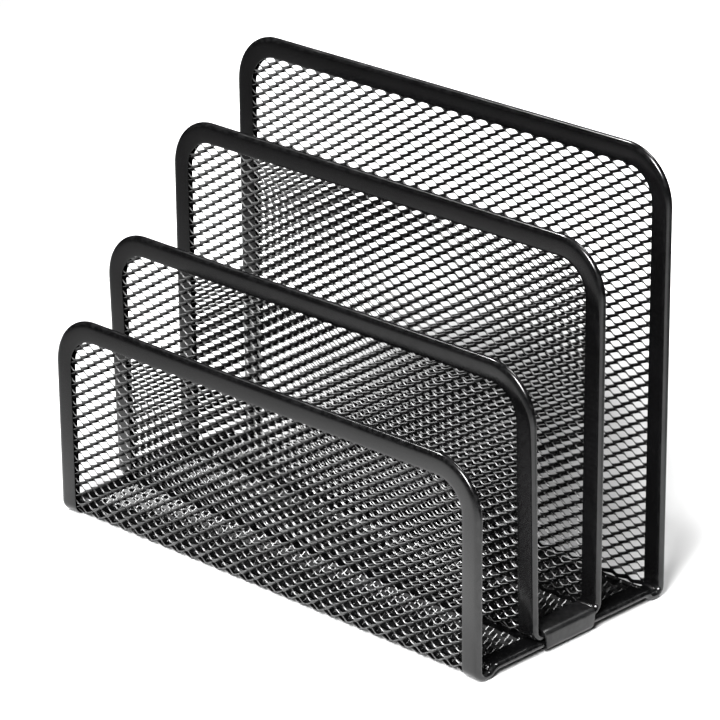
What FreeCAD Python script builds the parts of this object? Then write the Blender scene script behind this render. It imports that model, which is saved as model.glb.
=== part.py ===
import FreeCAD, Part

import math
import os

import Sketcher
from FreeCAD import Placement, Rotation, Vector

# Desktop file sorter: two sheets of expanded steel mesh, each bent to a U, each bound all the way round
# by a folded steel rim. The smaller U stands inside the larger one, its base lying on the larger base,
# and a C-shaped clip pinches the two rims together at the middle of each side.
#
# Frame: millimetres, X across the width, Y from front to back, Z up.
# The origin is on the desk under the middle of the sorter.

SIZES = [
    ("width", 178.0, "outside width of both rims"),
    ("depth", 82.5, "front face of the front panel to back face of the back panel"),
    ("front_height", 67.5, "front panel, from the desk to its top edge"),
    ("low_divider_height", 89.5, "front leg of the divider"),
    ("high_divider_height", 119.0, "back leg of the divider"),
    ("back_height", 140.0, "back panel"),
    ("front_gap", 24.0, "pitch from the front panel to the front leg of the divider"),
    ("middle_gap", 27.5, "pitch between the two legs of the divider"),
    ("divider_lean", 2.0, "how far the top of the divider's front leg leans forward"),
    ("corner_radius", 17.0, "top corners of every panel"),
    ("rim_width", 6.6, "flat width of the folded rim"),
    ("rim_thickness", 2.5, "thickness over the folded rim"),
    ("rim_rounding", 1.2, "radius on the rim's outer edges"),
    ("mesh_thickness", 1.8, "thickness over the tilted strands of the mesh"),
    ("mesh_setback", 1.6, "outer edge of the rim to the edge of the mesh inside it"),
    ("foot_radius", 3.8, "outside radius of the front and back bends"),
    ("foot_flat", 1.2, "flat land under each of those bends, which the sorter stands on"),
    ("step_radius", 2.0, "radius of the step from the foot up to the base"),
    ("base_clearance", 1.6, "desk to the underside of the outer base"),
    ("divider_radius", 4.0, "outside radius of the divider's two bends"),
    ("clip_length", 22.0, "length of each clip along the side"),
    ("clip_plate", 0.8, "thickness of the clip's steel"),
    ("clip_reach", 7.4, "how far the clip's two jaws reach over the rims"),
    ("clip_radius", 1.0, "inside radius of the clip's two folds"),
]

SIDE_VIEW = Rotation(Vector(1, 1, 1), 120)      # a sketch's X and Y become the object's Y and Z
FRONT_VIEW = Rotation(Vector(1, 0, 0), 90)      # a sketch's X and Y become the object's X and Z
HALF_TURN = Rotation(Vector(0, 0, 1), 180)
START, END, CENTRE = 1, 2, 3                    # the points of a sketch's line or arc
ROOT = (-1, START)                              # a sketch's own origin
TOLERANCE = 1e-4

doc = FreeCAD.newDocument("file_sorter")


def fill_sheet():
    """The driving dimensions, one to a row, each with its alias."""
    table = doc.addObject("Spreadsheet::Sheet", "sizes")
    for row, (alias, value, meaning) in enumerate(SIZES, start=1):
        table.set(f"A{row}", meaning)
        table.set(f"B{row}", str(value))
        table.setAlias(f"B{row}", alias)
    doc.recompute()
    return table


sizes = fill_sheet()


def size(alias):
    """The value of one driving dimension."""
    return float(getattr(sizes, alias))


def cells(rule):
    """An expression on the driving dimensions, with each bare alias pointed at its cell."""
    for alias in sorted((entry[0] for entry in SIZES), key=len, reverse=True):
        rule = rule.replace(f"<{alias}>", f"sizes.{alias}")
    return rule


def work_out(rule):
    """The number that an expression on the driving dimensions gives."""
    for alias, _, _ in SIZES:
        rule = rule.replace(f"<{alias}>", str(size(alias)))
    return FreeCAD.Units.parseQuantity(rule).Value


class BendSketch:
    """An open line of straights and bends, each tangent to the next, with its sizes bound to the sheet."""

    def __init__(self, name, view):
        self.sketch = doc.addObject("Sketcher::SketchObject", name)
        self.sketch.Placement = Placement(Vector(), view)
        self.last = None

    def join(self, number, first, last):
        """Make a new piece tangent to the end of the line so far."""
        if self.last is not None:
            self.sketch.addConstraint(Sketcher.Constraint("Tangent", *self.last, number, first))
        self.last = (number, last)
        return number

    def straight(self, start, end, direction=None):
        """A straight from start to end, held Horizontal or Vertical if that is asked for."""
        number = self.sketch.addGeometry(Part.LineSegment(Vector(*start), Vector(*end)))
        if direction:
            self.sketch.addConstraint(Sketcher.Constraint(direction, number))
        return self.join(number, START, END)

    def bend(self, centre, rule, begin, finish):
        """A bend about centre, of the radius that rule gives, from one angle to another, in degrees."""
        circle = Part.Circle(Vector(*centre), Vector(0, 0, 1), work_out(rule))
        low, high = sorted((math.radians(begin), math.radians(finish)))
        number = self.sketch.addGeometry(Part.ArcOfCircle(circle, low, high))
        self.measure(Sketcher.Constraint("Radius", number, work_out(rule)), rule)
        ends = (START, END) if begin < finish else (END, START)
        return self.join(number, *ends)

    def measure(self, constraint, rule):
        """Add a constraint and bind its value to the sheet."""
        index = self.sketch.addConstraint(constraint)
        self.sketch.setExpression(f"Constraints[{index}]", cells(rule))

    def across(self, first, second, rule):
        """Hold second to the right of first by the distance that rule gives."""
        self.measure(Sketcher.Constraint("DistanceX", *first, *second, work_out(rule)), rule)

    def above(self, first, second, rule):
        """Hold second above first by the distance that rule gives."""
        self.measure(Sketcher.Constraint("DistanceY", *first, *second, work_out(rule)), rule)


def outer_line(name, inset, drop):
    """Side view of the outer sheet: front panel, foot, step up to the base, and the same again behind.

    inset moves the line inwards from the outside face, and drop lowers its two top ends.
    """
    line = BendSketch(name, SIDE_VIEW)
    skin, lowered = work_out(inset), work_out(drop)
    half, foot, flat = size("depth") / 2, size("foot_radius"), size("foot_flat")
    rise = size("base_clearance")
    step = foot + size("step_radius")
    slope = math.degrees(math.acos(1 - rise / step))
    heel = half - foot - flat
    base_end = heel - step * math.sin(math.radians(slope))
    step_centre = rise - size("step_radius")
    foot_rule = f"<foot_radius> - ({inset})"
    step_rule = f"<step_radius> + ({inset})"

    front = line.straight((skin - half, size("front_height") - lowered), (skin - half, foot), "Vertical")
    toe = line.bend((foot - half, foot), foot_rule, 180, 270)
    front_land = line.straight((foot - half, skin), (-heel, skin), "Horizontal")
    line.bend((-heel, foot), foot_rule, 270, 270 + slope)
    line.bend((-base_end, step_centre), step_rule, 90 + slope, 90)
    base = line.straight((-base_end, rise + skin), (base_end, rise + skin), "Horizontal")
    line.bend((base_end, step_centre), step_rule, 90, 90 - slope)
    line.bend((heel, foot), foot_rule, 270 - slope, 270)
    back_land = line.straight((heel, skin), (half - foot, skin), "Horizontal")
    back_toe = line.bend((half - foot, foot), foot_rule, 270, 360)
    back = line.straight((half - skin, foot), (half - skin, size("back_height") - lowered), "Vertical")

    line.across((front, START), ROOT, f"<depth> / 2 - ({inset})")
    line.across(ROOT, (back, END), f"<depth> / 2 - ({inset})")
    line.above(ROOT, (front, START), f"<front_height> - ({drop})")
    line.above(ROOT, (back, END), f"<back_height> - ({drop})")
    line.above(ROOT, (base, START), f"<base_clearance> + ({inset})")
    for land, bend in ((front_land, toe), (back_land, back_toe)):
        line.across((land, START), (land, END), "<foot_flat>")
        line.above(ROOT, (bend, CENTRE), "<foot_radius>")
    return line.sketch


def divider_line(name, inset, drop):
    """Side view of the inner sheet: a plain U whose front leg leans forward a little."""
    line = BendSketch(name, SIDE_VIEW)
    skin, lowered = work_out(inset), work_out(drop)
    front_rule = "<depth> / 2 - <front_gap>"
    back_rule = "<front_gap> + <middle_gap> - <depth> / 2 + <rim_thickness>"
    floor_rule = "<base_clearance> + <rim_thickness>"
    front, back, floor = -work_out(front_rule), work_out(back_rule), work_out(floor_rule)
    radius = size("divider_radius")
    bend_rule = f"<divider_radius> - ({inset})"
    top = size("low_divider_height") - lowered
    tilt = math.degrees(math.atan2(size("divider_lean"), top - floor - radius))

    front_leg = line.straight((front + skin - size("divider_lean"), top), (front + skin, floor + radius))
    line.bend((front + radius, floor + radius), bend_rule, 180 - tilt, 270)
    base = line.straight((front + radius, floor + skin), (back - radius, floor + skin), "Horizontal")
    line.bend((back - radius, floor + radius), bend_rule, 270, 360)
    high_top = size("high_divider_height") - lowered
    back_leg = line.straight((back - skin, floor + radius), (back - skin, high_top), "Vertical")

    line.across((front_leg, START), ROOT, f"{front_rule} + <divider_lean> - ({inset})")
    line.across((front_leg, END), ROOT, f"{front_rule} - ({inset})")
    line.across(ROOT, (back_leg, END), f"{back_rule} - ({inset})")
    line.above(ROOT, (front_leg, START), f"<low_divider_height> - ({drop})")
    line.above(ROOT, (back_leg, END), f"<high_divider_height> - ({drop})")
    line.above(ROOT, (base, START), f"{floor_rule} + ({inset})")
    return line.sketch


def clip_line(name):
    """Front view of a clip: a C that opens inwards, drawn along its inside face."""
    line = BendSketch(name, FRONT_VIEW)
    edge, radius = size("width") / 2, size("clip_radius")
    low_rule = "<base_clearance>"
    high_rule = "<base_clearance> + 2 * <rim_thickness>"
    low, high = work_out(low_rule), work_out(high_rule)
    inner = edge + size("clip_plate") - size("clip_reach")

    lower_jaw = line.straight((inner, low), (edge - radius, low), "Horizontal")
    line.bend((edge - radius, low + radius), "<clip_radius>", 270, 360)
    web = line.straight((edge, low + radius), (edge, high - radius), "Vertical")
    line.bend((edge - radius, high - radius), "<clip_radius>", 0, 90)
    upper_jaw = line.straight((edge - radius, high), (inner, high), "Horizontal")

    line.across(ROOT, (web, START), "<width> / 2")
    line.above(ROOT, (lower_jaw, START), low_rule)
    line.above(ROOT, (upper_jaw, END), high_rule)
    for point in ((lower_jaw, START), (upper_jaw, END)):
        line.across(ROOT, point, "<width> / 2 + <clip_plate> - <clip_reach>")
    return line.sketch


def bent_plate(name, line, thickness, length):
    """A plate of the given thickness on one side of a bent line, drawn out to the given length."""
    band = doc.addObject("Part::Offset2D", name + "_band")
    band.Source = line
    band.Mode = "Skin"
    band.Fill = True
    band.setExpression("Value", cells(thickness))
    plate = doc.addObject("Part::Extrusion", name + "_plate")
    plate.Base = band
    plate.DirMode = "Normal"
    plate.Symmetric = True
    plate.Solid = True
    plate.setExpression("LengthFwd", cells(length))
    doc.recompute()
    return plate


def round_edges(name, base, wanted, rule):
    """Round the edges of base that the test wanted picks, with the radius that rule gives."""
    rounded = doc.addObject("Part::Fillet", name)
    rounded.Base = base
    radius = work_out(rule)
    picked = [i for i, edge in enumerate(base.Shape.Edges, start=1) if wanted(edge)]
    rounded.Edges = [(i, radius, radius) for i in picked]
    doc.recompute()
    return rounded


def spread(edge, axis):
    """How far an edge reaches along one axis."""
    values = [getattr(point, axis) for point in edge.discretize(9)]
    return max(values) - min(values)


def is_thickness_edge(edge, thickness):
    """True for the short straight edges that run through the plate."""
    return abs(edge.Length - thickness) < TOLERANCE and spread(edge, "x") < TOLERANCE


def panel_sheet(name, line, thickness, setback):
    """A bent sheet with its four top corners rounded."""
    plate = bent_plate(name, line, f"-({thickness})", f"<width> - 2 * ({setback})")
    gauge = work_out(thickness)
    floor = size("low_divider_height") / 2

    def top_corner(edge):
        return is_thickness_edge(edge, gauge) and edge.CenterOfMass.z > floor

    return round_edges(name + "_corners", plate, top_corner, f"<corner_radius> - ({setback})")


def is_outline_edge(edge, thickness):
    """True for the edges that run round the outline of a sheet, on either face of it."""
    crosses_panel = spread(edge, "x") > size("width") - TOLERANCE
    return not crosses_panel and not is_thickness_edge(edge, thickness)


def window(name, height, near, far):
    """The tool that opens one half of a rim: a block with the panel's rounded top corners."""
    block = doc.addObject("Part::Box", name + "_block")
    below = "1"
    block.setExpression("Length", cells("<width> - 2 * <rim_width>"))
    block.setExpression("Width", cells(f"({far}) - ({near})"))
    block.setExpression("Height", cells(f"<{height}> - <rim_width> + {below}"))
    block.setExpression("Placement.Base.x", cells("<rim_width> - <width> / 2"))
    block.setExpression("Placement.Base.y", cells(near))
    block.setExpression("Placement.Base.z", f"-{below}")
    doc.recompute()
    top = block.Shape.BoundBox.ZMax

    def upper_side(edge):
        return spread(edge, "y") > TOLERANCE and abs(edge.CenterOfMass.z - top) < TOLERANCE \
            and abs(edge.CenterOfMass.x) > TOLERANCE

    return round_edges(name, block, upper_side, "<corner_radius> - <rim_width>")


def folded_rim(name, line, mesh, windows):
    """A rim: the rounded outline band of a bent sheet, with the groove that holds the mesh's edge."""
    sheet = panel_sheet(name, line, "<rim_thickness>", "0")
    thickness = size("rim_thickness")
    rounded = round_edges(name + "_rounded", sheet, lambda edge: is_outline_edge(edge, thickness),
                          "<rim_rounding>")
    tools = doc.addObject("Part::MultiFuse", name + "_tools")
    tools.Shapes = windows + [mesh]
    rim = doc.addObject("Part::Cut", name)
    rim.Base = rounded
    rim.Tool = tools
    doc.recompute()
    return rim


INSET = "(<rim_thickness> - <mesh_thickness>) / 2"      # outside face of a rim to the mesh inside it
MID_BASE = "<front_gap> + <middle_gap> / 2 + <rim_thickness> / 2 - <depth> / 2"


def make_outer_sheet():
    """The front panel, base and back panel in one sheet of mesh, and its rim."""
    mesh = panel_sheet("outer_mesh", outer_line("outer_mesh_line", INSET, "<mesh_setback>"),
                       "<mesh_thickness>", "<mesh_setback>")
    front = window("front_window", "front_height", "-<depth> / 2 - 1", "0")
    back = window("back_window", "back_height", "0", "<depth> / 2 + 1")
    rim = folded_rim("outer_rim", outer_line("outer_rim_line", "0", "0"), mesh, [front, back])
    return mesh, rim


def make_divider_sheet():
    """The two inner panels and the base between them in one sheet of mesh, and its rim."""
    mesh = panel_sheet("divider_mesh", divider_line("divider_mesh_line", INSET, "<mesh_setback>"),
                       "<mesh_thickness>", "<mesh_setback>")
    front = window("low_window", "low_divider_height", "-<depth> / 2", MID_BASE)
    back = window("high_window", "high_divider_height", MID_BASE, "<depth> / 2")
    rim = folded_rim("divider_rim", divider_line("divider_rim_line", "0", "0"), mesh, [front, back])
    return mesh, rim


def make_clips():
    """The two clips: one part used twice, the left one turned half round."""
    clip = bent_plate("clip", clip_line("clip_line"), "-(<clip_plate>)", "<clip_length>")
    made = []
    for label, turn in (("clip_right", Rotation()), ("clip_left", HALF_TURN)):
        copy = doc.addObject("Part::Feature", label)
        copy.Shape = clip.Shape.copy()
        copy.Placement = Placement(Vector(0, work_out(MID_BASE), 0), turn)
        made.append(copy)
    return made


def finish(pieces):
    """Name each piece, test it, and write it out."""
    doc.recompute()
    for item in doc.Objects:
        if {"Invalid", "Error"} & set(item.State):
            raise RuntimeError(f"{item.Name} failed: {item.State}")
    os.makedirs("parts", exist_ok=True)
    for label, piece in pieces.items():
        piece.Label = label
        shape = piece.Shape
        if shape.isNull() or not shape.isValid() or len(shape.Solids) != 1:
            raise RuntimeError(f"{label} is not one valid solid")
        shape.exportStep(f"parts/{label}.step")
        box = shape.optimalBoundingBox()
        print(f"{label}: {shape.Volume:.0f} mm3, X {box.XMin:.2f} to {box.XMax:.2f}, "
              f"Y {box.YMin:.2f} to {box.YMax:.2f}, Z {box.ZMin:.2f} to {box.ZMax:.2f}")


outer_mesh, outer_rim = make_outer_sheet()
divider_mesh, divider_rim = make_divider_sheet()
clip_right, clip_left = make_clips()
finish({
    "outer_mesh": outer_mesh,
    "outer_rim": outer_rim,
    "divider_mesh": divider_mesh,
    "divider_rim": divider_rim,
    "clip_right": clip_right,
    "clip_left": clip_left,
})
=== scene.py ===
# %% [markdown]
# # A desktop file sorter in black steel mesh
# The real sorter starts as two flat sheets of expanded steel mesh. Each sheet gets a folded steel rim
# round its edge, is bent to a U, and the small U is clipped inside the large one. This lesson follows
# the same order. Every piece is first worked out flat, with x across the sheet, s along it and v out
# through it, and one bending formula then lays the flat piece into its U. Nothing is fitted by eye
# afterwards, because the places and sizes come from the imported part.

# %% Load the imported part
import math

import bpy
import numpy as np
from mathutils import Matrix, Vector


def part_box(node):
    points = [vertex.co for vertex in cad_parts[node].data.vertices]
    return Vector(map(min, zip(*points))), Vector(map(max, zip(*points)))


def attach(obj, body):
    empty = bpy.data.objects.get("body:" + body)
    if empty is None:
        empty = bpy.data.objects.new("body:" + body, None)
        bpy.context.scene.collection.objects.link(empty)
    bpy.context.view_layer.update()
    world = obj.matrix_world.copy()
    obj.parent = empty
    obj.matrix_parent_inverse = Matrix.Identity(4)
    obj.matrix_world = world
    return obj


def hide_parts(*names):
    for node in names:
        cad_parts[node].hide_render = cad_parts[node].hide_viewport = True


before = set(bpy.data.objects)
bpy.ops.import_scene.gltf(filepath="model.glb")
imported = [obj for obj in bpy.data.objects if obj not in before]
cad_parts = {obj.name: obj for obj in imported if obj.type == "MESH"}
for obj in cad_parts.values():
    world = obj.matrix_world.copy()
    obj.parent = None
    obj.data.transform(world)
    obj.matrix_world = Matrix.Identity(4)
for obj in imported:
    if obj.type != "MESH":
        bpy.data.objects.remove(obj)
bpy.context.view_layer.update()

MM = 0.001
print("nodes:", sorted(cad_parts))

# %% [markdown]
# ## Reading the sorter's sizes
# A box tells how wide, deep and tall a piece is. The front panel is lower than the back one, though,
# and both belong to the same rim, so its height has to be read from the rim's own corner points.
# Reading the points keeps this script right if the part is ever made in another size.

# %% Measure the rims
def corner_points(node):
    """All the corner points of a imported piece, one row each, in metres."""
    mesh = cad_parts[node].data
    flat = np.empty(len(mesh.vertices) * 3)
    mesh.vertices.foreach_get("co", flat)
    return flat.reshape(-1, 3)


def top_between(points, near, far):
    """The greatest height among the points whose depth lies between near and far."""
    inside = (points[:, 1] > near) & (points[:, 1] < far)
    return points[inside, 2].max()


outer_points = corner_points("outer_rim")
divider_points = corner_points("divider_rim")
outer_low, outer_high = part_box("outer_rim")
divider_low, divider_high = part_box("divider_rim")

WIDTH = outer_high.x - outer_low.x
DEPTH = outer_high.y - outer_low.y
FRONT_HEIGHT = top_between(outer_points, outer_low.y, 0)
BACK_HEIGHT = outer_high.z
LEG_BAND = 8 * MM               # deep enough to hold the divider's front leg and nothing behind it
LOW_HEIGHT = top_between(divider_points, divider_low.y, divider_low.y + LEG_BAND)
HIGH_HEIGHT = divider_high.z
print(f"width {WIDTH:.4f}, depth {DEPTH:.4f}, "
      f"heights {FRONT_HEIGHT:.4f} {LOW_HEIGHT:.4f} {HIGH_HEIGHT:.4f} {BACK_HEIGHT:.4f}")

# %% [markdown]
# ## The steel's own measures
# These are the gauges and radii that the press and the folding tool give. They are few, and every
# shape below is worked out from them and from the sizes just read.

# %% Gauges and radii
RIM_THICKNESS = 2.5 * MM        # over the folded rim
RIM_WIDTH = 6.6 * MM            # flat width of the rim
RIM_ROUNDING = 1.2 * MM         # outer edges of the rim, measured through the sheet
RIM_SHOULDER = 2.0 * MM         # the same rounding measured across the rim
RIM_LIP = 0.07 * MM             # the small radius where each flange ends
RIM_FALL = 0.2 * MM             # how far each flange closes in on the mesh by its end
MESH_THICKNESS = 1.8 * MM       # over the tilted strands
MESH_SETBACK = 1.6 * MM         # outer edge of the rim to the edge of the mesh inside it
CORNER_RADIUS = 17 * MM         # top corners of every panel
FOOT_RADIUS = 3.8 * MM          # outside radius of the front and back bends
FOOT_FLAT = 1.2 * MM            # flat land under those bends
STEP_RADIUS = 2.0 * MM          # the step from the foot up to the base
DIVIDER_RADIUS = 4.0 * MM       # outside radius of the divider's bends

divider_floor = divider_low.z
base_clearance = divider_floor - RIM_THICKNESS
leg_foot = divider_points[divider_points[:, 2] < divider_floor + DIVIDER_RADIUS + MM]
divider_front = leg_foot[:, 1].min()
divider_lean = divider_front - divider_low.y
print(f"base stands {base_clearance / MM:.2f} mm clear, divider leans {divider_lean / MM:.2f} mm")

# %% [markdown]
# ## One formula for every bend
# A bent sheet seen from the side is a run of straights and arcs. Both are the same thing: a piece of
# some length over which the heading turns evenly, by nothing on a straight. Blender could draw this
# as a Bezier curve, but a curve only comes near an arc. Summing exact pieces gives the true bend, and
# the same function also draws the rim's outline in the flat sheet.

# %% A path of straights and bends
def chord(heading, turn, length, run):
    """Where a run along one piece leads: the chord of its arc, which points along the mean heading.

    The chord of an arc that turns by a is the run times sin(a / 2) / (a / 2).
    """
    half_turn = turn / length * run / 2
    reach = run * np.sinc(half_turn / np.pi)
    mean = heading + half_turn
    return np.stack([reach * np.cos(mean), reach * np.sin(mean)], axis=-1)


class TurningPath:
    """A path made of (length, turn) pieces, as a function of the distance run along it."""

    def __init__(self, start, heading, pieces):
        self.lengths, self.turns = np.array(pieces, float).T
        self.ends = np.concatenate([[0], np.cumsum(self.lengths)])
        self.headings = heading + np.concatenate([[0], np.cumsum(self.turns)[:-1]])
        steps = chord(self.headings, self.turns, self.lengths, self.lengths)
        self.starts = np.array(start) + np.concatenate([[[0, 0]], np.cumsum(steps, axis=0)[:-1]])
        self.length = self.ends[-1]

    def at(self, distance):
        """Place and heading at each distance: the start of its piece, plus the chord from there."""
        piece = np.clip(np.searchsorted(self.ends, distance, side="right") - 1, 0, len(self.lengths) - 1)
        run = distance - self.ends[piece]
        turn, length, heading = self.turns[piece], self.lengths[piece], self.headings[piece]
        place = self.starts[piece] + chord(heading, turn, length, run)
        return place, heading + turn * run / length

    def stations(self, longest, sharpest):
        """Distances to cut at: each piece in equal parts, none longer or turning more than asked."""
        parts = np.maximum(np.ceil(self.lengths / longest), np.ceil(np.abs(self.turns) / sharpest))
        cuts = [np.linspace(a, b, int(n), endpoint=False)
                for a, b, n in zip(self.ends[:-1], self.ends[1:], np.maximum(parts, 1))]
        return np.concatenate(cuts + [[self.length]])


# %% [markdown]
# ## Two sheets and how they are bent
# The outer sheet runs down the front panel, round the front foot, up a small step to the base, and
# the same way again at the back. The divider is a plain U whose front leg leans forward a little.
# The paths follow the middle of the sheet's thickness, so an outside radius loses half of it.

# %% The bent sheets
class BentSheet:
    """A flat sheet, x across and s along, with the path that its middle takes once it is bent."""

    def __init__(self, path):
        self.path = path
        self.half_width = WIDTH / 2

    def bend(self, across, along, through):
        """Lay flat points into the bent sheet: the path's place, plus through times its outward normal.

        The outward normal is the heading turned a quarter to the right.
        """
        place, heading = self.path.at(along)
        depth = place[..., 0] + through * np.sin(heading)
        height = place[..., 1] - through * np.cos(heading)
        return np.stack([across, depth, height], axis=-1)


HALF_THICKNESS = RIM_THICKNESS / 2
QUARTER = math.pi / 2
DOWN = -QUARTER


def outer_path():
    """Front panel, foot, step, base, step, foot and back panel."""
    step_span = FOOT_RADIUS + STEP_RADIUS
    slope = math.acos(1 - base_clearance / step_span)
    bend = FOOT_RADIUS - HALF_THICKNESS
    step = STEP_RADIUS + HALF_THICKNESS
    base = DEPTH - 2 * (FOOT_RADIUS + FOOT_FLAT + step_span * math.sin(slope))
    foot = [(bend * QUARTER, QUARTER), (FOOT_FLAT, 0), (bend * slope, slope), (step * slope, -slope)]
    pieces = [(FRONT_HEIGHT - FOOT_RADIUS, 0), *foot, (base, 0),
              *foot[::-1], (BACK_HEIGHT - FOOT_RADIUS, 0)]
    return TurningPath((HALF_THICKNESS - DEPTH / 2, FRONT_HEIGHT), DOWN, pieces)


def divider_path():
    """Leaning front leg, bend, base, bend and upright back leg."""
    bend = DIVIDER_RADIUS - HALF_THICKNESS
    straight = LOW_HEIGHT - divider_floor - DIVIDER_RADIUS
    tilt = math.atan2(divider_lean, straight)
    drop = LOW_HEIGHT - divider_floor - HALF_THICKNESS - bend * (1 - math.sin(tilt))
    leg = drop / math.cos(tilt)
    front = divider_front + HALF_THICKNESS
    start = (front - divider_lean, LOW_HEIGHT)
    base_start = start[0] + leg * math.sin(tilt) + bend * math.cos(tilt)
    base = divider_high.y - HALF_THICKNESS - bend - base_start
    turn = QUARTER - tilt
    pieces = [(leg, 0), (bend * turn, turn), (base, 0), (bend * QUARTER, QUARTER),
              (HIGH_HEIGHT - divider_floor - DIVIDER_RADIUS, 0)]
    return TurningPath(start, DOWN + tilt, pieces)


outer_sheet = BentSheet(outer_path())
divider_sheet = BentSheet(divider_path())
for title, sheet in (("outer", outer_sheet), ("divider", divider_sheet)):
    end, _ = sheet.path.at(np.array([sheet.path.length]))
    print(f"{title} sheet: {sheet.path.length:.4f} m long when flat, "
          f"ends at y {end[0, 0]:.4f} z {end[0, 1]:.4f}")

# %% [markdown]
# ## From arrays to a Blender mesh
# Every surface here is four-sided faces between rows of points. `foreach_set` hands whole arrays to
# Blender at once, which is far quicker than adding faces one by one. Only the points that some face
# uses are kept, so no loose ones go into the exported mesh.

# %% Building pieces from arrays
def build_piece(name, points, quads, sharp=None, fields=None):
    """A mesh object from points (n, 3) and quads (m, 4).

    sharp(a, b) says which edges, given as two arrays of old point numbers, keep a crease.
    fields holds named arrays for materials to read, with one value per point or one per quad.
    """
    used, renumbered = np.unique(quads, return_inverse=True)
    quads = renumbered.reshape(-1, 4).astype(np.int32)
    mesh = bpy.data.meshes.new(name)
    mesh.vertices.add(len(used))
    mesh.vertices.foreach_set("co", points[used].astype(np.float32).ravel())
    mesh.loops.add(quads.size)
    mesh.loops.foreach_set("vertex_index", quads.ravel())
    mesh.polygons.add(len(quads))
    mesh.polygons.foreach_set("loop_start", np.arange(0, quads.size, 4, dtype=np.int32))
    mesh.update(calc_edges=True)
    mesh.polygons.foreach_set("use_smooth", np.ones(len(quads), bool))
    if sharp is not None:
        ends = np.empty(len(mesh.edges) * 2, np.int32)
        mesh.edges.foreach_get("vertices", ends)
        first, second = used[ends.reshape(-1, 2).T]
        crease = mesh.attributes.new("sharp_edge", "BOOLEAN", "EDGE")
        crease.data.foreach_set("value", sharp(first, second))
    for field, values in (fields or {}).items():
        per_point = len(values) == len(points)
        layer = mesh.attributes.new(field, "FLOAT", "POINT" if per_point else "FACE")
        layer.data.foreach_set("value", (values[used] if per_point else values).astype(np.float32))
    mesh.validate()
    piece = bpy.data.objects.new(name, mesh)
    bpy.context.scene.collection.objects.link(piece)
    print(f"{name}: {len(used)} points, {2 * len(quads)} triangles")
    return piece


def grid_quads(rows, columns, wrap_rows=False, wrap_columns=False):
    """Quads between neighbouring points of a rows by columns grid, numbered row by row."""
    row = np.arange(rows if wrap_rows else rows - 1)[:, None]
    column = np.arange(columns if wrap_columns else columns - 1)[None, :]
    next_row, next_column = (row + 1) % rows, (column + 1) % columns
    corners = [row * columns + column, row * columns + next_column,
               next_row * columns + next_column, next_row * columns + column]
    return np.stack(np.broadcast_arrays(*corners), axis=-1).reshape(-1, 4)


# %% [markdown]
# ## Black powder coat
# The steel is sprayed with dry black powder and baked. The coat melts to a satin skin with a faint orange
# peel, slightly uneven in gloss, and it wears shiny where hands and paper rub the edges. Those edges are
# painted lighter than the coat: wear with a painted sheen, and on the cut sides of the mesh strands mostly a
# painted highlight. An image texture would tile and blur at this scale, so the peel, the gloss and the
# lighter edges are noise in the piece's own coordinates. The lighter colour follows a value stored with the
# shape, which is highest on the edges that stick out and 0 on the flats.

# %% A powder coat material
PATCH_CONTRAST = 1.6            # the lighter of a coat's two blacks, against the darker


def powder_coat(name, colour, edge_sheen_and_wear, gloss, peel_size, peel_depth, sheen_and_wear_share=(0, 0.5)):
    """A satin black coat: two tones of black, uneven roughness, orange peel, and lighter edges of wear with a
    painted sheen.

    gloss is the (smoothest, roughest) roughness, peel_size and peel_depth are in metres, and
    sheen_and_wear_share is the (least, most) of edge_sheen_and_wear, the lighter edge colour of wear and
    painted sheen, that shows on an edge.
    """
    material = bpy.data.materials.new(name)
    material.use_nodes = True
    nodes, links = material.node_tree.nodes, material.node_tree.links
    shader = nodes["Principled BSDF"]
    place = nodes.new("ShaderNodeTexCoord").outputs["Object"]

    def noise(scale, detail):
        """Cloudy noise between 0 and 1, with about this many clouds to the metre."""
        texture = nodes.new("ShaderNodeTexNoise")
        texture.inputs["Scale"].default_value = scale
        texture.inputs["Detail"].default_value = detail
        links.new(place, texture.inputs["Vector"])
        return texture.outputs["Fac"]

    def remap(value, low, high, to_low, to_high):
        """Stretch low..high to to_low..to_high, and hold it there beyond the ends."""
        mapper = nodes.new("ShaderNodeMapRange")
        links.new(value, mapper.inputs["Value"])
        limits = {"From Min": low, "From Max": high, "To Min": to_low, "To Max": to_high}
        for socket, number in limits.items():
            mapper.inputs[socket].default_value = number
        return mapper.outputs["Result"]

    def blend(amount, first, second):
        """Mix two colours, each a constant or another node's output."""
        mixer = nodes.new("ShaderNodeMix")
        mixer.data_type = "RGBA"
        links.new(amount, mixer.inputs["Factor"])
        for socket, value in (("A", first), ("B", second)):
            target = next(s for s in mixer.inputs if s.name == socket and s.type == "RGBA")
            if isinstance(value, tuple):
                target.default_value = (*value, 1)
            else:
                links.new(value, target)
        return next(s for s in mixer.outputs if s.type == "RGBA")

    patches = noise(scale=60, detail=4)
    lighter = tuple(PATCH_CONTRAST * channel for channel in colour)
    coat = blend(remap(patches, 0.35, 0.65, 0, 1), colour, lighter)

    # Where the stored value is high the coat is painted lighter: wear with a painted sheen, and on the mesh's
    # cut sides mostly a painted highlight.
    edge = nodes.new("ShaderNodeAttribute")
    edge.attribute_name = "sheen_and_wear_edge"
    edge_patchiness = remap(noise(scale=700, detail=6), 0.45, 0.6, *sheen_and_wear_share)
    sheen_and_wear_mix = nodes.new("ShaderNodeMath")
    sheen_and_wear_mix.operation = "MULTIPLY"
    links.new(edge.outputs["Fac"], sheen_and_wear_mix.inputs[0])
    links.new(edge_patchiness, sheen_and_wear_mix.inputs[1])
    links.new(blend(sheen_and_wear_mix.outputs[0], coat, edge_sheen_and_wear), shader.inputs["Base Color"])

    smooth, rough = gloss
    links.new(remap(noise(scale=220, detail=5), 0.3, 0.7, smooth, rough), shader.inputs["Roughness"])

    bump = nodes.new("ShaderNodeBump")
    bump.inputs["Strength"].default_value = 1.0
    bump.inputs["Distance"].default_value = peel_depth
    links.new(noise(scale=1 / peel_size, detail=2), bump.inputs["Height"])
    links.new(bump.outputs["Normal"], shader.inputs["Normal"])
    return material


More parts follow.
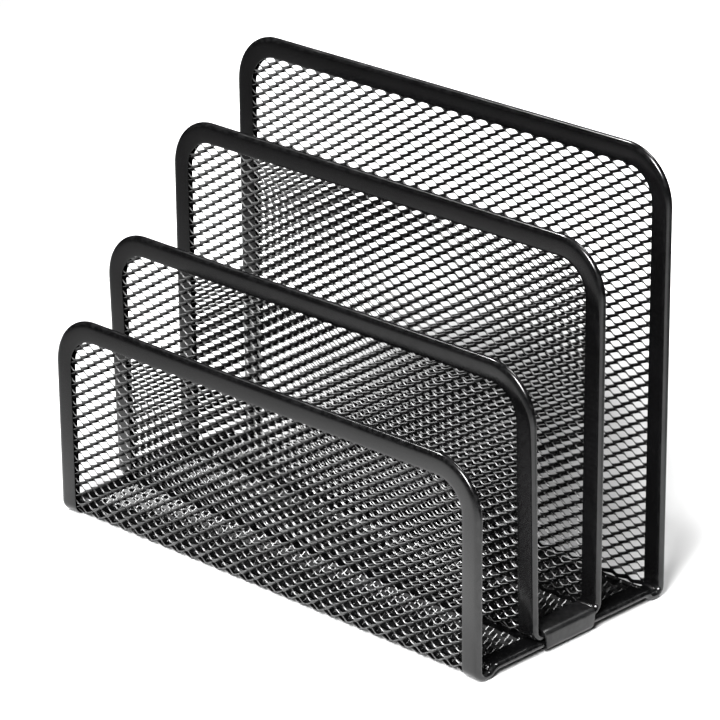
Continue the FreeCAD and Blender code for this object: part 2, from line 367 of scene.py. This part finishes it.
rim_coat = powder_coat("black_rim_coat", colour=(0.0018, 0.0018, 0.0019),
                       edge_sheen_and_wear=(0.020, 0.020, 0.0205), gloss=(0.13, 0.22),
                       peel_size=1.3 * MM, peel_depth=0.012 * MM)
# The mesh's edge colour is far lighter than its coat: on the strands' cut sides it is a painted highlight,
# with some wear.
mesh_coat = powder_coat("black_mesh_coat", colour=(0.0015, 0.0015, 0.0016),
                        edge_sheen_and_wear=(0.20, 0.20, 0.20), gloss=(0.20, 0.30),
                        peel_size=0.6 * MM, peel_depth=0.010 * MM, sheen_and_wear_share=(0.6, 1))
clip_coat = powder_coat("black_clip_coat", colour=(0.004, 0.004, 0.0042),
                        edge_sheen_and_wear=(0.04, 0.04, 0.041), gloss=(0.30, 0.42),
                        peel_size=1.0 * MM, peel_depth=0.014 * MM)
print("coats:", [m.name for m in (rim_coat, mesh_coat, clip_coat)])

# %% [markdown]
# ## The mesh: ribbons slit and stretched
# Expanded metal is slit sheet pulled open, never woven wire. Between two rows of slits is one long
# ribbon. Pulling makes it zigzag: at every half pitch it is bonded to the ribbon above or to the one
# below, turn about. The ribbons also tip over like the slats of a blind, so a strand that falls to
# the right is seen almost edge on from the right, and one that rises shows its broad dark side.
# An array modifier on one diamond could not follow the bends or stop at the round corners, so the
# whole field of ribbons is worked out at once as an array of sections.

# %% Measures of the mesh
LONG_PITCH = 6.0 * MM           # across the sheet, from one diamond to the next
SHORT_PITCH = 3.75 * MM         # along the sheet
STRAND_WIDTH = 1.3 * MM
STRAND_GAUGE = 0.32 * MM
STRAND_SHEAR = math.radians(2)  # the press shears its cuts this far off square
BOND_LENGTH = 0.8 * MM
STRAND_TILT = math.radians(34)

# One strand's section as (along its width, through its gauge). Sides 0 and 2 are the sheared cuts.
HALF_STRAND, HALF_GAUGE = STRAND_WIDTH / 2, STRAND_GAUGE / 2
SHEARED = HALF_GAUGE * math.tan(STRAND_SHEAR)
strand_section = np.array([
    (HALF_STRAND + SHEARED, -HALF_GAUGE), (HALF_STRAND - SHEARED, HALF_GAUGE),
    (-HALF_STRAND - SHEARED, HALF_GAUGE), (SHEARED - HALF_STRAND, -HALF_GAUGE),
])
CUT_HIGHLIGHT_AND_WEAR = np.array([0.6, 0, 0.6, 0])  # how much each side is lightened: a painted highlight on the two cut sides, with some wear
SIDES = len(strand_section)
print(f"an open diamond is about {LONG_PITCH / MM:.0f} by {SHORT_PITCH / MM:.0f} mm, pitch to pitch")


# %% [markdown]
# ## Where the ribbons run
# In the flat sheet every ribbon is the same zigzag, moved half a short pitch and half a long pitch
# from the last. So one array holds all the sections: one row for each ribbon, and a section at each
# end of each bond. The sheet's round corners only decide which of those sections are kept.

# %% Ribbons in the flat sheet
def edge_inset(along, length):
    """How far the rounded ends of the flat sheet stand in from its sides, at each distance along.

    Within one corner radius of an end this is R - sqrt(R^2 - d^2), with d the way past the arc's centre.
    """
    past = np.clip(CORNER_RADIUS - np.minimum(along, length - along), 0, CORNER_RADIUS)
    return CORNER_RADIUS - np.sqrt(CORNER_RADIUS ** 2 - past ** 2)


def ribbon_sections(sheet):
    """Section centres of all ribbons: across, along and through, each (ribbons, sections).

    A bond is centred on each node of the zigzag and has a section at both its ends. At a node the
    ribbon is half a tipped width away from the bond, on the side where it doesn't touch its neighbour.
    """
    ribbons = int((sheet.path.length - 2 * MESH_SETBACK) / (SHORT_PITCH / 2))
    nodes = 2 * int((sheet.half_width - MESH_SETBACK) / (LONG_PITCH / 2)) + 1
    ribbon = np.arange(ribbons)[:, None]
    node = np.arange(nodes)[None, :]
    middle = sheet.path.length / 2 + (ribbon - (ribbons - 1) / 2) * SHORT_PITCH / 2
    towards_next = np.where((ribbon + node) % 2 == 0, 1.0, -1.0)
    along = middle + towards_next * (SHORT_PITCH / 2 - STRAND_WIDTH * math.cos(STRAND_TILT)) / 2
    through = towards_next * STRAND_WIDTH * math.sin(STRAND_TILT) / 2
    across = (node - (nodes - 1) / 2) * LONG_PITCH / 2 + np.zeros_like(along)
    both_ends = np.array([-1, 1]) * BOND_LENGTH / 2
    across = (across[..., None] + both_ends).reshape(ribbons, -1)
    return across, np.repeat(along, 2, axis=1), np.repeat(through, 2, axis=1)


def strand_mesh(name, sheet):
    """The expanded mesh of one sheet, bent to shape and trimmed inside the rim's groove.

    Each section is the strand's outline turned by the tilt, and neighbouring sections of one ribbon
    are joined into a skin. A run of kept sections is closed by a cap at each end.
    """
    across, along, through = ribbon_sections(sheet)
    reach = sheet.half_width - MESH_SETBACK - edge_inset(along, sheet.path.length)
    inside = np.abs(across) <= reach

    width, gauge = strand_section.T
    spread = width * math.cos(STRAND_TILT) + gauge * math.sin(STRAND_TILT)
    rise = gauge * math.cos(STRAND_TILT) - width * math.sin(STRAND_TILT)
    points = sheet.bend(across[..., None] + 0 * width,
                        along[..., None] + spread, through[..., None] + rise)

    ring = np.arange(points[..., 0].size).reshape(points.shape[:3])
    kept = inside[:, :-1] & inside[:, 1:]
    left, right = ring[:, :-1][kept], ring[:, 1:][kept]
    skin = np.stack([left, right, np.roll(right, -1, 1), np.roll(left, -1, 1)], axis=-1).reshape(-1, 4)
    # The cut sides carry a painted highlight, with some wear.
    sheen_and_wear_share = np.tile(CUT_HIGHLIGHT_AND_WEAR, len(left))
    before = np.pad(kept, ((0, 0), (1, 0)))
    after = np.pad(kept, ((0, 0), (0, 1)))
    first, last = ring[after & ~before], ring[before & ~after]
    caps = np.concatenate([first, last[:, ::-1]])

    def along_strand(a, b):
        return a % SIDES == b % SIDES

    fields = {"sheen_and_wear_edge": np.concatenate([sheen_and_wear_share, np.zeros(len(caps))])}
    return build_piece(name, points.reshape(-1, 3), np.concatenate([skin, caps]), along_strand, fields)


# %% [markdown]
# ## Two sheets of the same mesh
# Both sheets are cut from one stock, so the same function makes them, each with its own bends.

# %% Make both sheets of mesh
outer_strands = strand_mesh("outer_mesh_strands", outer_sheet)
divider_strands = strand_mesh("divider_mesh_strands", divider_sheet)
for piece, node in ((outer_strands, "outer_mesh"), (divider_strands, "divider_mesh")):
    piece.data.materials.append(mesh_coat)
    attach(piece, "root")
    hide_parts(node)

# %% [markdown]
# ## The rims: one profile carried round an outline
# The real rim is a steel strip folded over the mesh's edge like a bias binding, and it is one strip
# all the way round, so its face flows through the corners with no joint. Extruding and filleting
# would give the shape, but a profile carried along the sheet's outline also keeps the folded edge,
# the groove and the thin ends of the flanges exact. The outline is drawn in the flat sheet by the
# same path formula that bends it.

# %% The folded profile
def arc_points(centre, radius, start, end, count):
    """Points on an arc: the centre plus the radius times (cos, sin) of evenly spaced angles."""
    angle = np.radians(np.linspace(start, end, count))
    return np.array(centre) + radius * np.stack([np.cos(angle), np.sin(angle)], axis=-1)


def rim_profile():
    """The folded strip's section as (inwards from the outer edge, out through the sheet), closed.

    It goes round the outer fold, along the outside flange to its lip, back down the groove, across
    the bottom of the groove and out along the other flange.
    """
    half, groove = RIM_THICKNESS / 2, MESH_THICKNESS / 2
    hold = 0.15 * MM            # a narrow face beside each groove corner keeps its shading crisp
    share = np.linspace(0, 1, 7)[1:]
    flat_run = RIM_WIDTH - RIM_LIP - RIM_SHOULDER
    flange = np.stack([RIM_SHOULDER + share * flat_run, half - RIM_FALL * share ** 2], axis=1)
    shoulder = arc_points((RIM_ROUNDING, half - RIM_ROUNDING), RIM_ROUNDING, 180, 90, 10)
    fold = np.concatenate([
        shoulder * [RIM_SHOULDER / RIM_ROUNDING, 1],
        flange,
        arc_points((RIM_WIDTH - RIM_LIP, half - RIM_FALL - RIM_LIP), RIM_LIP, 60, 0, 3),
        [(RIM_WIDTH, groove), (RIM_WIDTH - hold, groove)],
        [(MESH_SETBACK + hold, groove), (MESH_SETBACK, groove)],
    ])
    return np.concatenate([fold, fold[::-1] * [1, -1]])


profile = rim_profile()
print(f"rim profile: {len(profile)} points")


# %% [markdown]
# ## Round the sheet, then bent with it
# The strip runs along two long sides, two ends and four corners. Only the long sides cross the
# bends, so they are cut where the sheet bends, while the corners are cut evenly. The rim is closed
# on itself, and so is its profile, which leaves no open edge anywhere.

# %% Carry the profile round the flat outline
CORNER_CUTS, END_CUTS = 18, 14
LIP_SHEEN_AND_WEAR = 0.4                  # how much lighter the flange's lip is, wear with a painted sheen, against 1 on the outer fold


def sheet_outline(sheet):
    """The flat sheet's outline: places (n, 2) as (across, along) and the inward directions (n, 2).

    It is a rectangle with rounded corners, walked with its inside on the left: four straights joined
    by four quarter turns. Along the two long sides the cuts fall where the sheet bends.
    """
    half, length, radius = sheet.half_width, sheet.path.length, CORNER_RADIUS
    end = (2 * (half - radius), 0)
    side = (length - 2 * radius, 0)
    corner = (radius * QUARTER, QUARTER)
    outline = TurningPath((half, radius), QUARTER, [side, corner, end, corner] * 2)
    bends = sheet.path.stations(longest=14 * MM, sharpest=math.radians(7.5))
    bends = bends[(bends > radius + MM) & (bends < length - radius - MM)] - radius
    ends = outline.ends
    turned_end = (CORNER_CUTS, END_CUTS, CORNER_CUTS)
    rest = [np.linspace(a, b, n, endpoint=False)
            for a, b, n in zip(ends[1:-1], ends[2:], (*turned_end, 0, *turned_end)) if n]
    up, down = np.concatenate([[0], bends]), ends[4] + np.concatenate([[0], side[0] - bends[::-1]])
    distance = np.sort(np.concatenate([up, down, *rest]))
    place, heading = outline.at(distance)
    return place, np.stack([-np.sin(heading), np.cos(heading)], axis=-1)


def folded_rim(name, sheet):
    """The rim: each outline place plus the profile laid inwards and through the sheet, then bent."""
    place, inward = sheet_outline(sheet)
    flat = place[:, None, :] + inward[:, None, :] * profile[None, :, :1]
    through = np.broadcast_to(profile[:, 1], flat.shape[:2])
    points = sheet.bend(flat[..., 0], flat[..., 1], through)
    quads = grid_quads(len(place), len(profile), wrap_rows=True, wrap_columns=True)
    # The outer fold and the lip are painted lighter: wear with a painted sheen.
    fold = np.clip(1 - profile[:, 0] / RIM_SHOULDER, 0, 1)
    lip = (profile[:, 0] > RIM_WIDTH - RIM_LIP) & (np.abs(profile[:, 1]) > MESH_THICKNESS / 2)
    edge_sheen_and_wear = np.broadcast_to(np.maximum(fold, LIP_SHEEN_AND_WEAR * lip), flat.shape[:2])
    return build_piece(name, points.reshape(-1, 3), quads, fields={"sheen_and_wear_edge": edge_sheen_and_wear.ravel()})


outer_binding = folded_rim("outer_rim_folded", outer_sheet)
divider_binding = folded_rim("divider_rim_folded", divider_sheet)
for piece, node in ((outer_binding, "outer_rim"), (divider_binding, "divider_rim")):
    piece.data.materials.append(rim_coat)
    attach(piece, "root")
    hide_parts(node)

# %% [markdown]
# ## The clips: a small plate folded to a C
# Each clip is a little plate, cut slightly narrower towards its lower jaw, then folded over both
# rims. Folding a flat grid along the C, then giving it thickness and soft edges with modifiers, is
# how a sheet-metal worker would think of it, and it leaves the folds round.

# %% Fold the clips
CLIP_PLATE = 0.8 * MM
CLIP_FOLD = 1.4 * MM            # radius of the folds at the middle of the plate
CLIP_TAPER = 1.1 * MM           # how much shorter each end is at the lower jaw than at the upper
CLIP_EDGE = 0.16 * MM           # softening of the plate's cut edges
CLIP_SHEEN_AND_WEAR = 0.35                # the whole plate is handled a little, wear lightened with a painted sheen
CLIP_ROWS = 9                   # points across the plate


def folded_clip(name, node):
    """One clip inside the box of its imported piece: across the path of the C, a tapering width."""
    low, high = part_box(node)
    side = 1 if low.x > 0 else -1
    reach, tall = high.x - low.x, high.z - low.z
    jaw = reach - CLIP_PLATE / 2 - CLIP_FOLD
    web = tall - CLIP_PLATE - 2 * CLIP_FOLD
    fold = (CLIP_FOLD * QUARTER, QUARTER)
    path = TurningPath((0, low.z + CLIP_PLATE / 2), 0, [(jaw, 0), fold, (web, 0), fold, (jaw, 0)])
    distance = path.stations(longest=3 * MM, sharpest=math.radians(12))
    place, _ = path.at(distance)
    share = np.linspace(-1, 1, CLIP_ROWS)[:, None]
    climb = np.clip((place[:, 1] - low.z) / tall, 0, 1)
    half_length = (high.y - low.y) / 2 - CLIP_TAPER * (1 - climb)
    depth = (low.y + high.y) / 2 + share * half_length
    inner = low.x if side > 0 else high.x
    across = inner + side * place[:, 0] + 0 * share
    height = place[:, 1] + 0 * share
    points = np.stack([across, depth, height], axis=-1)
    quads = grid_quads(len(share), len(distance))
    clip = build_piece(name, points.reshape(-1, 3), quads if side < 0 else quads[:, ::-1],
                       fields={"sheen_and_wear_edge": np.full(points[..., 0].size, CLIP_SHEEN_AND_WEAR)})
    plate = clip.modifiers.new("plate", "SOLIDIFY")
    plate.thickness = CLIP_PLATE
    plate.offset = 0
    soften = clip.modifiers.new("soft edges", "BEVEL")
    soften.width = CLIP_EDGE
    soften.segments = 2
    soften.limit_method = "ANGLE"
    soften.angle_limit = math.radians(50)
    clip.data.materials.append(clip_coat)
    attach(clip, "root")
    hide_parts(node)
    return clip


clips = [folded_clip(node + "_folded", node) for node in ("clip_right", "clip_left")]
print("clips:", [clip.name for clip in clips])

# %% [markdown]
# ## Floor and light
# Black gloss has hardly any colour of its own: what it shows is what it mirrors. The floor is painted pale in
# a pool round the sorter, a painted pool of light, and grey further out, and this gives the panels their
# grey. A long strip of light draws the bright line round each top corner, and a small box from the left
# glints on the cut edges of the mesh. A third box lights only the floor far behind. A painted shadow makes
# the floor greyer just behind the sorter, so the mesh reads as a dark veil there, and the room stays dim.
# More lights would only grey the black out.

# %% A floor with a painted pool of light and a painted shadow
# Each patch has a middle, a reach on each side, and stops of (distance, tone). The painted light patch is a
# pool of light painted into the floor's colour, fading to grey away from the sorter. The painted shadow patch
# darkens the floor that shows through the mesh, a shadow painted behind the sorter.
FLOOR_TURN = math.radians(44)   # both patches lie along the camera's view
PAINTED_LIGHT_MIDDLE, PAINTED_LIGHT_REACH = (-0.10, 0.14), (0.20, 0.90)
PAINTED_LIGHT_STOPS = ((0.50, 0.93), (0.96, 0.42), (1.40, 0.22), (1.90, 0.12))
PAINTED_SHADOW_MIDDLE, PAINTED_SHADOW_REACH = (-0.032, 0.094), (0.095, 0.20)
PAINTED_SHADOW_STOPS = ((0.30, 0.18), (0.50, 0.30), (0.72, 0.62), (1.10, 1.00))
RAMP_REACH = 2.0                # a colour ramp runs from 0 to 1, so distances are divided by this
GRAIN = 0.1                     # how much a cloudy noise moves the edges of the patches
FLOOR_HALF = 4.0                # half the floor's side
FLOOR_BELOW = 0.02 * MM         # how far the floor lies under the feet


def floor_with_painted_light_and_shadow():
    """A plane far larger than the sorter, a hair below it so that the two never share a surface.

    Each patch is an ellipse, r = |(x / a, y / b)|, with a tone for each r: one is a painted pool of light,
    the other a painted shadow. The two tones multiply.
    """
    ends = FLOOR_HALF * np.array([(-1, -1), (1, -1), (1, 1), (-1, 1)])
    corners = np.column_stack([ends, np.full(len(ends), -FLOOR_BELOW)])
    floor = build_piece("floor", corners, np.array([[0, 1, 2, 3]]))
    paint = bpy.data.materials.new("floor_with_painted_light_and_shadow")
    paint.use_nodes = True
    nodes, links = paint.node_tree.nodes, paint.node_tree.links
    shader = nodes["Principled BSDF"]
    shader.inputs["Specular IOR Level"].default_value = 0.0
    shader.inputs["Roughness"].default_value = 0.9
    place = nodes.new("ShaderNodeTexCoord").outputs["Object"]
    clouds = nodes.new("ShaderNodeTexNoise")
    clouds.inputs["Scale"].default_value = 3.0
    links.new(place, clouds.inputs["Vector"])

    def patch(middle, reach, stops):
        """The tone at each place: its distance from the middle in reaches, through a colour ramp."""
        ellipse = nodes.new("ShaderNodeMapping")
        ellipse.vector_type = "TEXTURE"
        ellipse.inputs["Location"].default_value = (*middle, 0)
        ellipse.inputs["Rotation"].default_value = (0, 0, FLOOR_TURN)
        ellipse.inputs["Scale"].default_value = (*reach, 1)
        links.new(place, ellipse.inputs["Vector"])
        radius = nodes.new("ShaderNodeVectorMath")
        radius.operation = "LENGTH"
        links.new(ellipse.outputs["Vector"], radius.inputs[0])
        uneven = nodes.new("ShaderNodeMath")
        uneven.operation = "MULTIPLY_ADD"
        uneven.inputs[1].default_value = GRAIN
        links.new(clouds.outputs["Fac"], uneven.inputs[0])
        links.new(radius.outputs["Value"], uneven.inputs[2])
        share = nodes.new("ShaderNodeMath")
        share.operation = "DIVIDE"
        share.inputs[1].default_value = RAMP_REACH
        links.new(uneven.outputs["Value"], share.inputs[0])
        tones = nodes.new("ShaderNodeValToRGB")
        for distance, tone in stops:
            tones.color_ramp.elements.new(distance / RAMP_REACH).color = (tone, tone, tone, 1)
        for outer in (0, -1):
            tones.color_ramp.elements.remove(tones.color_ramp.elements[outer])
        links.new(share.outputs["Value"], tones.inputs["Fac"])
        return tones.outputs["Color"]

    product = nodes.new("ShaderNodeVectorMath")
    product.operation = "MULTIPLY"
    # The painted pool of light: pale round the sorter, grey further out.
    links.new(patch(PAINTED_LIGHT_MIDDLE, PAINTED_LIGHT_REACH, PAINTED_LIGHT_STOPS), product.inputs[0])
    # The painted shadow on the floor just behind the sorter.
    links.new(patch(PAINTED_SHADOW_MIDDLE, PAINTED_SHADOW_REACH, PAINTED_SHADOW_STOPS), product.inputs[1])
    links.new(product.outputs["Vector"], shader.inputs["Base Color"])
    floor.data.materials.append(paint)


floor_with_painted_light_and_shadow()


# %% [markdown]
# ## Boxes of light and a dim room
# A studio photographer hangs a soft box where the glossy face mirrors it. Each box here is placed by
# two angles round its target, as one would walk round the table, and has a grid that keeps its light
# off everything else.

# %% Soft boxes and a dim room
BOX_DISTANCE = 2.0


def from_around(azimuth, elevation, distance, target):
    """A place at this distance from target: azimuth 0 is straight in front, elevation is upwards."""
    turn, climb = math.radians(azimuth), math.radians(elevation)
    direction = Vector((math.sin(turn) * math.cos(climb), -math.cos(turn) * math.cos(climb), math.sin(climb)))
    return Vector(target) + distance * direction


def aim(thing, target, roll=0.0):
    """Point the thing's own -Z at the target, then roll it about that line."""
    away = thing.location - Vector(target)
    turn = away.to_track_quat("Z", "Y").to_matrix() @ Matrix.Rotation(roll, 3, "Z")
    thing.rotation_euler = turn.to_euler()


def soft_box(name, azimuth, elevation, size, spread, radiance, target, roll=0.0):
    """A box of size (wide, tall) with a grid over it, aimed at target, which lights a round pool.

    Blender shares the power out over the spread h to each side, so for a wanted radiance the power
    is radiance * pi * area * (tan h - h) / tan h.
    """
    half_spread = math.radians(spread / 2)
    light = bpy.data.lights.new(name, "AREA")
    light.shape = "RECTANGLE"
    light.size, light.size_y = size
    light.spread = 2 * half_spread
    light.energy = radiance * math.pi * size[0] * size[1] * (1 - half_spread / math.tan(half_spread))
    lamp = bpy.data.objects.new(name, light)
    bpy.context.scene.collection.objects.link(lamp)
    lamp.location = from_around(azimuth, elevation, BOX_DISTANCE, target)
    aim(lamp, target, math.radians(roll))


MIDDLE = (0, 0, BACK_HEIGHT / 2)
soft_box("key_strip", 24, 39, (0.55, 1.5), spread=32, radiance=120,
         target=(0.07, -0.03, 0.05), roll=33)
soft_box("edge_box", -64, 55, (0.25, 0.25), spread=28, radiance=210, target=MIDDLE)
soft_box("background_box", 135, 70, (0.7, 0.7), spread=40, radiance=90, target=(-0.38, 0.41, 0))

room = bpy.data.worlds.new("room")
room.use_nodes = True
room.node_tree.nodes["Background"].inputs["Color"].default_value = (1, 1, 1, 1)
room.node_tree.nodes["Background"].inputs["Strength"].default_value = 0.02
bpy.context.scene.world = room

# %% [markdown]
# ## The camera
# The sorter is seen from its front right corner and a little above, from over a metre away through a
# long lens, which keeps the four panels nearly parallel.

# %% Set the camera
VIEW_AZIMUTH, VIEW_ELEVATION, VIEW_ROLL = 44.43, 22.07, -0.48
VIEW_DISTANCE = 1.19
VIEW_TARGET = (0, 2.5 * MM, 62.7 * MM)

lens = bpy.data.cameras.new("camera")
lens.sensor_width = 36
lens.lens = 197.7
lens.clip_end = 50
camera = bpy.data.objects.new("camera", lens)
bpy.context.scene.collection.objects.link(camera)
camera.location = from_around(VIEW_AZIMUTH, VIEW_ELEVATION, VIEW_DISTANCE, VIEW_TARGET)
aim(camera, VIEW_TARGET, math.radians(VIEW_ROLL))
bpy.context.scene.camera = camera
bpy.context.scene.view_settings.view_transform = "Standard"
print(f"camera at {tuple(round(value, 3) for value in camera.location)}")
